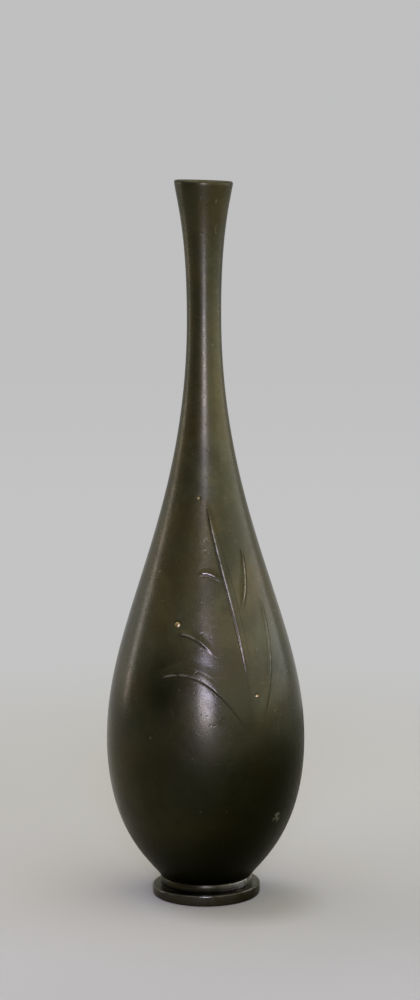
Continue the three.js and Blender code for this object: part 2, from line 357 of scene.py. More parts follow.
foot = bmesh.new()
pen = begin_profile(foot, plate_bore, 0)
pen = draw_on(foot, pen, (edge_radius, 0))
pen = arc_on(foot, pen, (edge_radius, FOOT_BAND_EDGE), 90, FOOT_EDGE_STEPS)
pen = draw_on(foot, pen, (foot_radius, FOOT_BAND_HEIGHT - FOOT_BAND_EDGE))
pen = arc_on(foot, pen, (edge_radius, FOOT_BAND_HEIGHT - FOOT_BAND_EDGE), 90, FOOT_EDGE_STEPS)
pen = draw_on(
    foot, pen, (shelf_radius + FOOT_SHELF_FILLET, FOOT_BAND_HEIGHT),
    (shelf_radius, FOOT_BAND_HEIGHT + FOOT_SHELF_FILLET), (shelf_radius, moulding_foot),
)
pen = arc_on(
    foot, pen, moulding_centre, math.degrees(moulding_turn + moulding_end), FOOT_MOULDING_STEPS,
)
draw_on(
    foot, pen, (foot_socket, foot_height), (foot_socket, spigot_low.z), (foot_bore, spigot_low.z),
    (foot_bore, plate_high.z), (plate_bore, plate_high.z), (plate_bore, 0),
)
turn_profile(foot, FOOT_TURN_STEPS)

foot_bronze = patina_material(
    "foot_patina", ground=(0.040, 0.035, 0.016), shade=(0.014, 0.013, 0.005),
    verdigris=(0.040, 0.044, 0.024), worn=(0.175, 0.170, 0.122), satin=0.10,
    Worn="wear_and_sheen", Deep="shade_and_dark_patina",
)
foot_ring = make_piece("foot_ring_turned", foot, foot_bronze, ["foot_ring"])

# Its rubbing, painted highlight and painted light, and its dark patina and painted shade
foot_points = points_of(foot_ring)
foot_reach = np.hypot(foot_points[:, 0], foot_points[:, 1])
foot_rise = foot_points[:, 2]
foot_right = np.clip((foot_points[:, 0] / foot_reach - FOOT_RIGHT_FROM) / FOOT_RIGHT_WIDTH, 0, 1)
inside_band = foot_reach < edge_radius
from_corner = np.hypot(foot_reach - foot_radius, foot_rise - FOOT_BAND_HEIGHT)
near_corner = np.clip(EDGE_RUB_REACH - from_corner / FOOT_BAND_EDGE, 0, 1)
# A painted highlight on the band's edge in front, and painted light on the right of the edge and the
# moulding, besides the rubbed edge all round
front_highlight = np.exp(-((foot_points[:, 0] / EDGE_HIGHLIGHT_REACH) ** 2)) * (foot_points[:, 1] < 0)
edge_wear_and_highlight = np.maximum(EDGE_RUB_ROUND + EDGE_HIGHLIGHT_FRONT * front_highlight, EDGE_LIGHT_RIGHT * foot_right)
moulding_painted_light = MOULDING_LIGHT_RIGHT * foot_right * inside_band
mark_points(foot_ring, "wear_and_sheen", np.maximum(near_corner * edge_wear_and_highlight, moulding_painted_light))
# Painted shade in the shelf's recess and on the left of the moulding; the band is darker on the right
on_shelf = inside_band & (foot_rise > FOOT_BAND_HEIGHT - SHELF_SHADE_BELOW)
on_shelf &= foot_rise < moulding_foot + SHELF_SHADE_ABOVE
foot_shade_and_patina = np.where(
    inside_band, np.interp(foot_right, (0, 1), MOULDING_SHADE), np.interp(foot_right, (0, 1), BAND_DARKENING),
)
mark_points(foot_ring, "shade_and_dark_patina", np.where(on_shelf, 1.0, foot_shade_and_patina))

# The band is raised and tilted, less and less down its face and across its shelf
top_share = np.clip((foot_rise - FOOT_BAND_EDGE) / (FOOT_BAND_HEIGHT - 2 * FOOT_BAND_EDGE), 0, 1)
shelf_share = np.clip((foot_reach - shelf_radius) / (FOOT_SHELF_WIDTH - FOOT_BAND_EDGE), 0, 1)
tilt_way = (math.sin(FOOT_BAND_TILT_TURN), -math.cos(FOOT_BAND_TILT_TURN))
band_rise = FOOT_BAND_RISE + FOOT_BAND_TILT * (foot_points[:, :2] @ tilt_way) / foot_radius
on_band = foot_reach > shelf_radius + FOOT_SHELF_FILLET / 2
foot_points[:, 2] += band_rise * np.where(on_band, top_share * shelf_share, 0)
move_points(foot_ring, foot_points)


# Base plate and its solder
# A flat disc of bronze, 1.6 mm thick, let into the foot from below against a ledge. A fillet of
# hard yellow solder seals it, and two more solder rings, out of sight, hold the vase's joints.
# The plate is scraped flat and stays as cast between the scrapes.
PLATE_EDGE = 0.25 * MM
PLATE_EDGE_STEPS = 4
SCRAPE_WIDTH = 4 * MM
SCRAPE_STRETCH = 9
SCRAPE_TURN = math.radians(24)
SCRAPE_DEPTH = 0.12 * MM
SCRAPE_STRENGTH = 0.5
FILLET_LEG = 1.2 * MM
FILLET_SAG = 0.28

plate = bmesh.new()
pen = begin_profile(plate, 0, plate_low.z)
pen = draw_on(plate, pen, (plate_high.x - PLATE_EDGE, plate_low.z))
plate_corner = (plate_high.x - PLATE_EDGE, plate_low.z + PLATE_EDGE)
pen = arc_on(plate, pen, plate_corner, 90, PLATE_EDGE_STEPS)
draw_on(plate, pen, (plate_high.x, plate_high.z), (0, plate_high.z))
turn_profile(plate, FOOT_TURN_STEPS)

plate_bronze = patina_material(
    "scraped_patina", ground=(0.055, 0.038, 0.022), shade=(0.022, 0.015, 0.009),
    verdigris=(0.045, 0.050, 0.030), worn=(0.150, 0.105, 0.060), satin=0.46,
)
plate_tree = plate_bronze.node_tree
scrape_map = add_node(plate_tree, "ShaderNodeMapping", {
    "Vector": object_place(plate_tree), "Rotation": (0, 0, SCRAPE_TURN),
    "Scale": (1, SCRAPE_STRETCH, 1),
})
scrape_place = scrape_map.outputs["Vector"]
scrapes = noise_of(plate_tree, scrape_place, SCRAPE_WIDTH, detail=3, roughness=0.6)
plate_shader = plate_tree.nodes["Principled BSDF"]
scrape_bump = add_node(plate_tree, "ShaderNodeBump", {
    "Height": scrapes, "Normal": plate_shader.inputs["Normal"].links[0].from_socket,
    "Strength": SCRAPE_STRENGTH, "Distance": SCRAPE_DEPTH,
})
feed(plate_tree, plate_shader, {"Normal": scrape_bump.outputs["Normal"]})
make_piece("base_plate_scraped", plate, plate_bronze, ["base_plate"])

solder_metal = patina_material(
    "hard_solder", ground=(0.205, 0.165, 0.085), shade=(0.090, 0.070, 0.036),
    verdigris=(0.120, 0.120, 0.070), worn=(0.300, 0.240, 0.120), satin=0.38,
)
fillet_inset = FILLET_LEG * (1 - FILLET_SAG) / 2
fillet = bmesh.new()
pen = begin_profile(fillet, plate_high.x, plate_low.z)
draw_on(
    fillet, pen, (plate_high.x - FILLET_LEG, plate_low.z),
    (plate_high.x - fillet_inset, plate_low.z - fillet_inset),
    (plate_high.x, plate_low.z - FILLET_LEG), (plate_high.x, plate_low.z),
)
turn_profile(fillet, FOOT_TURN_STEPS)
make_piece("base_fillet_solder", fillet, solder_metal, ["base_solder_fillet"])
for hidden_ring in ("foot_solder_ring", "neck_solder_ring"):
    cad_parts[hidden_ring].data.materials.clear()
    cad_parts[hidden_ring].data.materials.append(solder_metal)


# Body
# A drop-shaped shell of cast bronze with a wall of 2.6 mm, 83 mm across at the belly, filed and
# stoned smooth, with a socket for the neck and a spigot for the foot ring. The patina is a waxed
# olive brown, with painted shade that darkens it towards the foot, most on the right.
BELLY_HEIGHT = 67 * MM
BODY_FOOT_RADIUS = 18.98 * MM
BODY_FOOT_ANGLE = math.radians(59)
WAIST_RADIUS = 7.1 * MM
WAIST_HEIGHT = 244.6 * MM
MOUTH_ANGLE = math.radians(81)
UPRIGHT = math.pi / 2
LIP_RADIUS = 0.95 * MM
FOOT_PULL = 0.116
BELLY_PULL_BELOW = 0.68
BELLY_PULL_ABOVE = 0.29
WAIST_PULL_BELOW = 0.4725
WAIST_PULL_ABOVE = 0.614
MOUTH_PULL = 0.17
BODY_WALL = 2.6 * MM
SPIGOT_WALL = 1.7 * MM
COLLAR_HEIGHT = 1.5 * MM
COLLAR_TAPER = 4 * MM
OUTLINE_POINTS = 400
SLOPE_STEP = 0.5 * MM
RELIEF_FROM = 70 * MM
RELIEF_TO = 172 * MM
RELIEF_RINGS = 240
RINGS_BELOW_RELIEF = 26
RINGS_ABOVE_RELIEF = 12
RINGS_INSIDE = 16
FRONT_ANGLE = math.radians(58)
FRONT_STEPS = 250
BACK_STEPS = 68
# How much painted shade darkens the bronze at each height in mm, on the right and on the left
SHADE_HEIGHTS = (17, 34, 50, 60, 67, 85, 106, 125, 268, 285, 300)
SHADE_RIGHT = (1.0, 1.0, 1.0, 0.97, 0.84, 0.38, 0.08, 0.0, 0.0, 0.10, 0.25)
SHADE_LEFT = (0.84, 0.46, 0.38, 0.38, 0.38, 0.30, 0.12, 0.0, 0.16, 0.30, 0.42)
# How rough the wax is, and how much metal shows through it, at a height on the body and one on
# the neck, in mm
WAX_HEIGHTS = (120, 190)
WAX_SATIN = (0.20, 0.28)
WAX_SHARE = (0.35, 0.56)
# A pool of painted shade under the left leaf, as a turn in degrees and a height and reach in mm
SHADE_POOL_TURN = -27
SHADE_POOL_HEIGHT = 93
SHADE_POOL_REACH = 14
SHADE_POOL_DEPTH = 0.60

body_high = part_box("body")[1]
neck_low, neck_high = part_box("neck")
socket_low, socket_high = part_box("neck_solder_ring")
joint_height = body_high.z
lip_height = neck_high.z - LIP_RADIUS
socket_radius = socket_high.x + TURNED_FIT
neck_bore = socket_high.x - SPIGOT_WALL
spigot_bore = spigot_high.x - SPIGOT_WALL
collar_foot = socket_low.z - COLLAR_HEIGHT


def outline_stretch(start, start_angle, start_pull, end, end_angle, end_pull):
    """A curved stretch of the outline between two (radius, height) points."""
    rise = end[1] - start[1]
    first = Vector((start[0], 0, start[1]))
    last = Vector((end[0], 0, end[1]))
    leaving = Vector((math.cos(start_angle), 0, math.sin(start_angle))) * start_pull * rise
    arriving = Vector((math.cos(end_angle), 0, math.sin(end_angle))) * end_pull * rise
    return interpolate_bezier(first, first + leaving, last - arriving, last, OUTLINE_POINTS)


body_foot = (BODY_FOOT_RADIUS, foot_height)
belly = (body_high.x, BELLY_HEIGHT)
waist = (WAIST_RADIUS, WAIST_HEIGHT)
mouth = (neck_high.x, lip_height)
outline = outline_stretch(
    body_foot, BODY_FOOT_ANGLE, FOOT_PULL, belly, UPRIGHT, BELLY_PULL_BELOW,
)
outline += outline_stretch(
    belly, UPRIGHT, BELLY_PULL_ABOVE, waist, UPRIGHT, WAIST_PULL_BELOW,
)[1:]
outline += outline_stretch(
    waist, UPRIGHT, WAIST_PULL_ABOVE, mouth, MOUTH_ANGLE, MOUTH_PULL,
)[1:]
outline_radii = np.array([point.x for point in outline])
outline_heights = np.array([point.z for point in outline])


def radius_at(height):
    return np.interp(height, outline_heights, outline_radii)


def slope_at(height):
    """How fast the outside widens with height."""
    wider = radius_at(height + SLOPE_STEP) - radius_at(height - SLOPE_STEP)
    return wider / (2 * SLOPE_STEP)


def wall_radius_at(height, wall):
    """The radius of the inner face of a wall of that thickness."""
    slope = slope_at(height)
    return radius_at(height) - wall * math.sqrt(1 + slope * slope)


def surface_point(turn, height):
    """A point on the outside, at a turn in degrees from the front, as an array."""
    angle = math.radians(turn)
    radius = radius_at(height)
    return np.array((radius * math.sin(angle), -radius * math.cos(angle), height))


def turn_with_fine_front(bm):
    """Turns a profile into a closed skin, in finer steps in front, where the leaves are."""
    first_turn = Matrix.Rotation(-UPRIGHT - FRONT_ANGLE, 3, "Z")
    bmesh.ops.rotate(bm, verts=bm.verts[:], cent=(0, 0, 0), matrix=first_turn)
    swept = bmesh.ops.spin(
        bm, geom=bm.verts[:] + bm.edges[:], cent=(0, 0, 0), axis=(0, 0, 1),
        angle=2 * FRONT_ANGLE, steps=FRONT_STEPS,
    )
    bmesh.ops.spin(
        bm, geom=swept["geom_last"], cent=(0, 0, 0), axis=(0, 0, 1),
        angle=math.tau - 2 * FRONT_ANGLE, steps=BACK_STEPS,
    )
    close_skin(bm)


ring_heights = np.concatenate((
    np.linspace(foot_height, RELIEF_FROM, RINGS_BELOW_RELIEF)[1:],
    np.linspace(RELIEF_FROM, RELIEF_TO, RELIEF_RINGS)[1:],
    np.linspace(RELIEF_TO, joint_height, RINGS_ABOVE_RELIEF)[1:],
))
inside_heights = np.linspace(
    collar_foot - COLLAR_TAPER, foot_height + BODY_WALL / 2, RINGS_INSIDE,
)
body = bmesh.new()
pen = begin_profile(body, spigot_high.x, foot_height)
pen = draw_on(
    body, pen, (BODY_FOOT_RADIUS, foot_height),
    *((radius_at(height), height) for height in ring_heights),
    (socket_radius, joint_height), (socket_radius, socket_low.z),
    (neck_bore, socket_low.z), (neck_bore, collar_foot),
    *((wall_radius_at(height, BODY_WALL), height) for height in inside_heights),
    (spigot_bore, foot_height), (spigot_bore, spigot_high.z),
    (spigot_high.x, spigot_high.z), (spigot_high.x, foot_height),
)
turn_with_fine_front(body)

body_bronze = patina_material(
    "body_patina", ground=(0.046, 0.0425, 0.0145), shade=(0.0040, 0.0043, 0.0004),
    verdigris=(0.052, 0.058, 0.026), worn=(0.240, 0.220, 0.140), satin=WAX_SATIN[0],
    Worn="wear_and_sheen", Deep="shade_and_dark_patina", Satin="satin", Share="metal_share",
)


def painted_shade_at(points):
    """How much painted shade darkens the bronze at each point of the vase."""
    height = points[:, 2] / MM
    right = 0.5 + 0.5 * points[:, 0] / np.hypot(points[:, 0], points[:, 1])
    on_right = np.interp(height, SHADE_HEIGHTS, SHADE_RIGHT)
    on_left = np.interp(height, SHADE_HEIGHTS, SHADE_LEFT)
    away = np.linalg.norm(points - surface_point(SHADE_POOL_TURN, SHADE_POOL_HEIGHT * MM), axis=1)
    shade_pool = SHADE_POOL_DEPTH * np.exp(-((away / (SHADE_POOL_REACH * MM)) ** 2))
    even = on_left + (on_right - on_left) * right
    return even + (1 - even) * shade_pool


def mark_wax(piece, points):
    """Marks how rough the wax is, and how much metal shows through it, by height."""
    mark_points(piece, "satin", np.interp(points[:, 2] / MM, WAX_HEIGHTS, WAX_SATIN))
    mark_points(piece, "metal_share", np.interp(points[:, 2] / MM, WAX_HEIGHTS, WAX_SHARE))


vase_body = make_piece("body_with_leaves", body, body_bronze, ["body"])


# Leaves in relief
# Three long leaves and three leaflets are chased in the body's own wall, at most 0.4 mm proud.
# Each has one crisp edge, rubbed bright in places, with a painted highlight along it, and a vein,
# and melts into the ground on its other side. A fine groove runs along the crisp edge and round
# each gilt drop; painted shade darkens the grooves along the edges and the veins.
LEAF_RISE = 0.40 * MM
LEAF_STEP = 0.60 * MM
GLINT_WIDTH = 0.24 * MM
GLINT_RUB = 0.75
CUT_WIDTH = 0.35 * MM
CUT_DEPTH = 0.07 * MM
CUT_SHADE_AND_DIRT = 0.6
VEIN_WIDTH = 0.28 * MM
VEIN_DEPTH = 0.05 * MM
VEIN_SHADE = 0.35
VEIN_SIDE = 0.2
SKIN_DEPTH = 0.5 * MM
LEAF_SAMPLES = 120
LEAF_ROOT_PULL = 0.7
LEAF_TIP_PULL = 0.6
# A leaf's width follows a half wave, begun a little way in and flattened
LEAF_WAVE_START = 0.12
LEAF_WAVE_POWER = 0.7
# How many times faster than the leaf's length its root, its tip and its brightness rise
ROOT_EASE = 3
TIP_EASE = 6
BRIGHT_EASE = 8
DROP_RADII = (0.7 * MM, 1.2 * MM, 0.8 * MM)
DROP_RING = 0.3 * MM
# Root, bend and tip are a turn in degrees from the front and a height in mm, and half the width
# is in mm. The crisp edge is on the right of the way up where crisp is 1, on the left where it
# is -1, and bright, rubbed metal with a painted highlight, between two shares of the length.
Leaf = namedtuple("Leaf", "root bend tip half_width crisp bright")
LEAVES = (
    Leaf((30, 80), (37, 142), (3, 171), 3.0, 1, (0.35, 0.90)),
    Leaf((28, 78), (2, 118), (-36, 98), 3.6, 1, (0.35, 0.95)),
    Leaf((34, 82), (48, 110), (50, 132), 2.2, -1, (0.30, 0.80)),
    Leaf((25, 124), (36, 134), (41, 152), 1.4, -1, (0.20, 0.85)),
    Leaf((19, 137), (6, 145), (-7, 141), 1.3, 1, (0.25, 0.90)),
    Leaf((8, 109), (-8, 122), (-21, 117), 1.5, 1, (0.25, 0.90)),
)


def leaf_line(leaf):
    """The middle line of a leaf as points on the outside, from its root to its tip."""
    root, bend, tip = (Vector((*end, 0)) for end in (leaf.root, leaf.bend, leaf.tip))
    leaving = root.lerp(bend, LEAF_ROOT_PULL)
    arriving = tip.lerp(bend, LEAF_TIP_PULL)
    along = interpolate_bezier(root, leaving, arriving, tip, LEAF_SAMPLES)
    return np.array([surface_point(point.x, point.y * MM) for point in along])


def ease(value):
    """Rises smoothly from 0 to 1 as the value does."""
    value = np.clip(value, 0, 1)
    return value * value * (3 - 2 * value)


def bell(distance, width):
    return np.exp(-((distance / width) ** 2))


def level_out_of(points):
    """The level direction away from the axis at each point."""
    return points * (1, 1, 0) / np.linalg.norm(points[:, :2], axis=1)[:, None]


body_points = points_of(vase_body)
body_reach = np.hypot(body_points[:, 0], body_points[:, 1])
in_relief = body_reach > radius_at(body_points[:, 2]) - SKIN_DEPTH
in_relief &= (body_points[:, 2] > RELIEF_FROM) & (body_points[:, 2] < RELIEF_TO)
in_relief &= body_points[:, 1] < 0
chosen = np.nonzero(in_relief)[0]
spots = body_points[chosen]
leaf_height, glint, cut, vein = (np.zeros(len(spots)) for _ in range(4))
for leaf in LEAVES:
    line = leaf_line(leaf)
    tangent = np.gradient(line, axis=0)
    tangent /= np.linalg.norm(tangent, axis=1)[:, None]
    across = np.cross(tangent, level_out_of(line)) * -leaf.crisp
    nearest = np.argmin(((spots[:, None, :] - line[None, :, :]) ** 2).sum(2), axis=1)
    offset = ((spots - line[nearest]) * across[nearest]).sum(1)
    share = nearest / (LEAF_SAMPLES - 1)
    within = (nearest > 0) & (nearest < LEAF_SAMPLES - 1)
    wave = np.sin(math.pi * (LEAF_WAVE_START + (1 - LEAF_WAVE_START) * share))
    half = leaf.half_width * MM * wave ** LEAF_WAVE_POWER
    ends = ease(share * ROOT_EASE) * ease((1 - share) * TIP_EASE) * within
    melting = ease((offset + half) / (2 * half + WELD_DISTANCE))
    swell = melting * ease(1 - (offset - half) / LEAF_STEP)
    leaf_height = np.maximum(leaf_height, LEAF_RISE * ends * swell)
    # The glint is a painted highlight along the crisp edge, on rubbed metal
    low_share, high_share = leaf.bright
    bright = ease((share - low_share) * BRIGHT_EASE) * ease((high_share - share) * BRIGHT_EASE)
    glint = np.maximum(glint, bright * ends * bell(offset - half, GLINT_WIDTH))
    # Painted shade in the groove beside the crisp edge and in the vein
    cut = np.maximum(cut, ends * bell(offset - half - LEAF_STEP - CUT_WIDTH / 2, CUT_WIDTH))
    vein = np.maximum(vein, ends * bell(offset - VEIN_SIDE * half, VEIN_WIDTH))
for number, radius in enumerate(DROP_RADII, 1):
    low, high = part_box(f"gilt_drop_{number}")
    away = np.linalg.norm(spots - (low + high) / 2, axis=1)
    leaf_height *= ease((away - radius) / radius)
    cut = np.maximum(cut, bell(away - radius - DROP_RING / 2, DROP_RING))
moved = leaf_height - CUT_DEPTH * cut * ease(1 - leaf_height / CUT_DEPTH) - VEIN_DEPTH * vein
body_points[chosen] += level_out_of(spots) * moved[:, None]
move_points(vase_body, body_points)

# Painted shade low on the body, most on the right, under the left leaf, and in the leaves' grooves and
# veins; round the gilt drops the dark ring is dirt
shade_and_dark_patina = painted_shade_at(body_points)
shade_and_dark_patina[chosen] = np.maximum(shade_and_dark_patina[chosen], np.maximum(CUT_SHADE_AND_DIRT * cut, VEIN_SHADE * vein))
wear_and_sheen = np.zeros(len(body_points))
wear_and_sheen[chosen] = GLINT_RUB * glint
mark_points(vase_body, "wear_and_sheen", wear_and_sheen)
mark_points(vase_body, "shade_and_dark_patina", shade_and_dark_patina)
mark_wax(vase_body, body_points)


# Neck
# A slender flared tube of bronze with a wall of 1.9 mm and a rounded lip, let into the body by
# a spigot 9 mm long. The joint is filed flush, and the neck has the body's own patina. The lip
# was dressed by hand, so its left side stands a little higher than its right.
NECK_WALL = 1.9 * MM
NECK_RINGS = 96
NECK_RINGS_INSIDE = 34
LIP_STEPS = 14
LIP_TILT = 0.035
LIP_TILT_REACH = 12 * MM
LIP_RUB = 0.15
LIP_RUB_REACH = 1.1 * MM

neck = bmesh.new()
pen = begin_profile(neck, socket_high.x, joint_height)
outside_heights = np.linspace(joint_height, lip_height, NECK_RINGS)
pen = draw_on(neck, pen, *((radius_at(height), height) for height in outside_heights))
pen = arc_on(neck, pen, (neck_high.x - LIP_RADIUS, lip_height), 180, LIP_STEPS)
for height in np.linspace(lip_height - LIP_RADIUS, joint_height, NECK_RINGS_INSIDE):
    bore = wall_radius_at(height, NECK_WALL)
    if height > WAIST_HEIGHT or bore < neck_bore:
        pen = draw_on(neck, pen, (bore, height))
draw_on(
    neck, pen, (neck_bore, neck_low.z), (socket_high.x, neck_low.z),
    (socket_high.x, joint_height),
)
turn_with_fine_front(neck)
for vert in neck.verts:
    share = max(0.0, 1 - (neck_high.z - vert.co.z) / LIP_TILT_REACH)
    vert.co.z -= LIP_TILT * vert.co.x * share * share

vase_neck = make_piece("neck_with_lip", neck, body_bronze, ["neck"])
neck_points = points_of(vase_neck)
lip_share = 1 - np.abs(neck_points[:, 2] - neck_high.z) / LIP_RUB_REACH
mark_points(vase_neck, "wear_and_sheen", np.clip(lip_share, 0, 1) * LIP_RUB)
# The neck takes the body's painted shade, which darkens the top of the neck on the left
mark_points(vase_neck, "shade_and_dark_patina", painted_shade_at(neck_points))
mark_wax(vase_neck, neck_points)


# Core plugs
# Six round bronze plugs, 5 mm across, hammered into the holes that the core pins left in the
# body's wall and filed flush. The patina hides them, but for one low on the right, where a pale
# green patch was bared.
PLUG_RADIUS = 2.5 * MM
PLUG_PROUD = 0.05 * MM
PLUG_DEPTH = 0.6 * MM
PLUG_FLATNESS = 8
STUD_STEPS = 40
STUD_RINGS = 5
STUD_WELD_SHARE = 0.01
STUD_LEAST_RING = 1e-3
BARED_PLUG = ("low", 1)
BARED_SHARE = 0.45
BARED_LOBES = 3
BARED_TURN = 1

plug_bronze = patina_material(
    "plug_patina", ground=(0.042, 0.040, 0.016), shade=(0.0095, 0.0095, 0.0030),
    verdigris=(0.060, 0.066, 0.034), worn=(0.110, 0.125, 0.065), satin=0.23,
    Worn="wear_and_sheen", Deep="shade_and_dark_patina",
)


def make_stud(name, node, radius, flatness, rise, depth, material):
    """A low round stud that follows the body's surface where its CAD node stands."""
    low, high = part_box(node)
    middle = (low + high) / 2
    turn = math.atan2(middle.x, -middle.y)
    bm = bmesh.new()
    bmesh.ops.create_circle(bm, cap_ends=False, radius=radius, segments=STUD_STEPS)
    edges = bm.edges[:]
    for ring in range(1, STUD_RINGS + 1):
        grown = bmesh.ops.extrude_edge_only(bm, edges=edges)["geom"]
        verts = [item for item in grown if isinstance(item, bmesh.types.BMVert)]
        shrink = max((STUD_RINGS - ring) / (STUD_RINGS + 1 - ring), STUD_LEAST_RING)
        bmesh.ops.scale(bm, vec=(shrink, shrink, 1), verts=verts)
        edges = [item for item in grown if isinstance(item, bmesh.types.BMEdge)]
    bmesh.ops.remove_doubles(bm, verts=bm.verts[:], dist=radius * STUD_WELD_SHARE)
    shell = bmesh.ops.extrude_face_region(bm, geom=bm.faces[:])["geom"]
    lifted = {item for item in shell if isinstance(item, bmesh.types.BMVert)}

    spot = Vector(surface_point(math.degrees(turn), middle.z))
    out = Vector((math.sin(turn), -math.cos(turn), -slope_at(middle.z))).normalized()
    face = out.to_track_quat("Z", "Y").to_matrix()
    for vert in bm.verts:
        share = min(1.0, vert.co.to_2d().length / radius)
        flat = spot + face @ Vector((vert.co.x, vert.co.y, 0))
        reach = math.hypot(flat.x, flat.y)
        drop = reach - float(radius_at(flat.z))
        onto = flat - Vector((flat.x, flat.y, 0)) / reach * drop
        dome = rise * (1 - share ** flatness)
        vert.co = onto + out * (dome if vert in lifted else -depth)
    bmesh.ops.recalc_face_normals(bm, faces=bm.faces[:])
    return make_piece(name, bm, material, [node])


for row in ("low", "high"):
    for number in (1, 2, 3):
        plug = make_stud(
            f"{row}_plug_{number}_filed", f"{row}_core_plug_{number}", PLUG_RADIUS,
            PLUG_FLATNESS, PLUG_PROUD, PLUG_DEPTH, plug_bronze,
        )
        plug_points = points_of(plug)
        around = plug_points - plug_points.mean(axis=0)
        angles = np.arctan2(around[:, 2], around[:, 0])
        lobes = np.sin(BARED_LOBES * angles + BARED_TURN) * np.linalg.norm(around, axis=1)
        bared = np.clip(BARED_SHARE - lobes / PLUG_RADIUS, 0, BARED_SHARE)
        bared *= (row, number) == BARED_PLUG
        mark_points(plug, "wear_and_sheen", bared)
        # The plugs take the body's painted shade, less where the patch is bared
        mark_points(plug, "shade_and_dark_patina", painted_shade_at(plug_points) * (1 - bared))


# Gilt drops
# Three dew drops of gold, 1.4 to 2.4 mm across, let into pockets in the bronze by the leaves,
# with a fine dark ring of wax and dirt round each. The gold is dulled by old wax.
DROP_RISE = 0.35 * MM
DROP_DEPTH = 0.5 * MM
DROP_ROUNDNESS = 2
GOLD = (0.27, 0.20, 0.085, 1)
DULLED_GOLD = (0.08, 0.06, 0.024, 1)
GOLD_ROUGHNESS = (0.30, 0.50)
GOLD_WEAR_CELL = 0.7 * MM
GOLD_WEAR_OVER = (0.42, 0.68)
GOLD_WEAR_DEPTH = 0.05 * MM
GOLD_WEAR_STRENGTH = 0.6

gilt = new_material("dew_drop_gold")
gilt_tree = gilt.node_tree
gilt_place = object_place(gilt_tree)
gilt_noise = noise_of(gilt_tree, gilt_place, GOLD_WEAR_CELL, detail=3, roughness=0.6)
gilt_wear = remap(gilt_tree, gilt_noise, *GOLD_WEAR_OVER)
gilt_bump = add_node(gilt_tree, "ShaderNodeBump", {
    "Height": gilt_wear, "Strength": GOLD_WEAR_STRENGTH, "Distance": GOLD_WEAR_DEPTH,
})
feed(gilt_tree, gilt_tree.nodes["Principled BSDF"], {
    "Base Color": mix_colors(gilt_tree, gilt_wear, GOLD, DULLED_GOLD),
    "Roughness": remap(gilt_tree, gilt_wear, 0, 1, *GOLD_ROUGHNESS),
    "Metallic": 1.0, "Normal": gilt_bump.outputs["Normal"],
})
for number, radius in enumerate(DROP_RADII, 1):
    make_stud(
        f"dew_drop_{number}", f"gilt_drop_{number}", radius,
        DROP_ROUNDNESS, DROP_RISE, DROP_DEPTH, gilt,
    )


# Floor and background
# A pale floor that fades, away from the vase, into a background of the same pale grey. Painted
# shade darkens it in front, painted light brightens it towards the back left, a painted warm tint
# lies in the shade near the vase, and a painted shadow lies by the foot.
PALE = (0.525, 0.525, 0.53, 1)
FAR_TONE = (0.55, 0.55, 0.55, 1)
FRONT_TONE = (0.440, 0.437, 0.383, 1)
BACK_TONE = (0.525, 0.522, 0.466, 1)
FOOT_SHADE = (0.78, 0.77, 0.70, 1)
WARM_SHADE = (1.02, 1.01, 0.95, 1)
FILL = (0.46, 0.435, 0.375, 1)
FILL_STRENGTH = 0.6
FLOOR_RADIUS = 8
FLOOR_SIDES = 64
BACK_WAY = (-0.65, 0.76, 0.0)
SHADOW_MIDDLE = (0.014, -0.014, 0.0)
# The distances in metres over which each change of tone takes place
BACK_FROM_TO = (-0.12, 0.08)
SHADOW_FROM_TO = (0.016, 0.042)
WARM_FROM_TO = (0.03, 0.13)
FADE_FROM_TO = (0.14, 0.52)
FAR_FROM_TO = (0.8, 2.5)

floor_paint = new_material("pale_floor")
floor_tree = floor_paint.node_tree
floor_tree.nodes.remove(floor_tree.nodes["Principled BSDF"])
floor_place = object_place(floor_tree)


def floor_measure(operation, other=(0.0, 0.0, 0.0)):
    """A length or product of the place on the floor, in metres."""
    values = {0: floor_place, 1: other}
    return add_node(floor_tree, "ShaderNodeVectorMath", values, operation=operation).outputs["Value"]


from_middle = floor_measure("LENGTH")
# Painted shade in front and painted light behind, a painted shadow by the foot, and a painted warm tint
# near the vase
to_back = remap(floor_tree, floor_measure("DOT_PRODUCT", BACK_WAY), *BACK_FROM_TO)
in_shadow = remap(floor_tree, floor_measure("DISTANCE", SHADOW_MIDDLE), *SHADOW_FROM_TO, 1.0, 0.0)
near_vase = remap(floor_tree, from_middle, *WARM_FROM_TO, 1.0, 0.0)
floor_tone = mix_colors(floor_tree, to_back, FRONT_TONE, BACK_TONE)
floor_tone = mix_colors(floor_tree, in_shadow, floor_tone, FOOT_SHADE, "MULTIPLY")
floor_tone = mix_colors(floor_tree, near_vase, floor_tone, WARM_SHADE, "MULTIPLY")
far_off = remap(floor_tree, from_middle, *FAR_FROM_TO)
floor_glow = mix_colors(floor_tree, far_off, FAR_TONE, PALE)
floor_matt = add_node(floor_tree, "ShaderNodeBsdfDiffuse", {"Color": floor_tone})
floor_far = add_node(floor_tree, "ShaderNodeEmission", {"Color": floor_glow, "Strength": 1.0})
floor_mix = add_node(floor_tree, "ShaderNodeMixShader", {
    0: remap(floor_tree, from_middle, *FADE_FROM_TO), 1: floor_matt.outputs[0],
    2: floor_far.outputs[0],
})
feed(floor_tree, floor_tree.nodes["Material Output"], {"Surface": floor_mix.outputs[0]})

floor_disc = bmesh.new()
bmesh.ops.create_circle(floor_disc, cap_ends=True, radius=FLOOR_RADIUS, segments=FLOOR_SIDES)
floor = make_object("floor", make_mesh("floor", floor_disc, floor_paint))

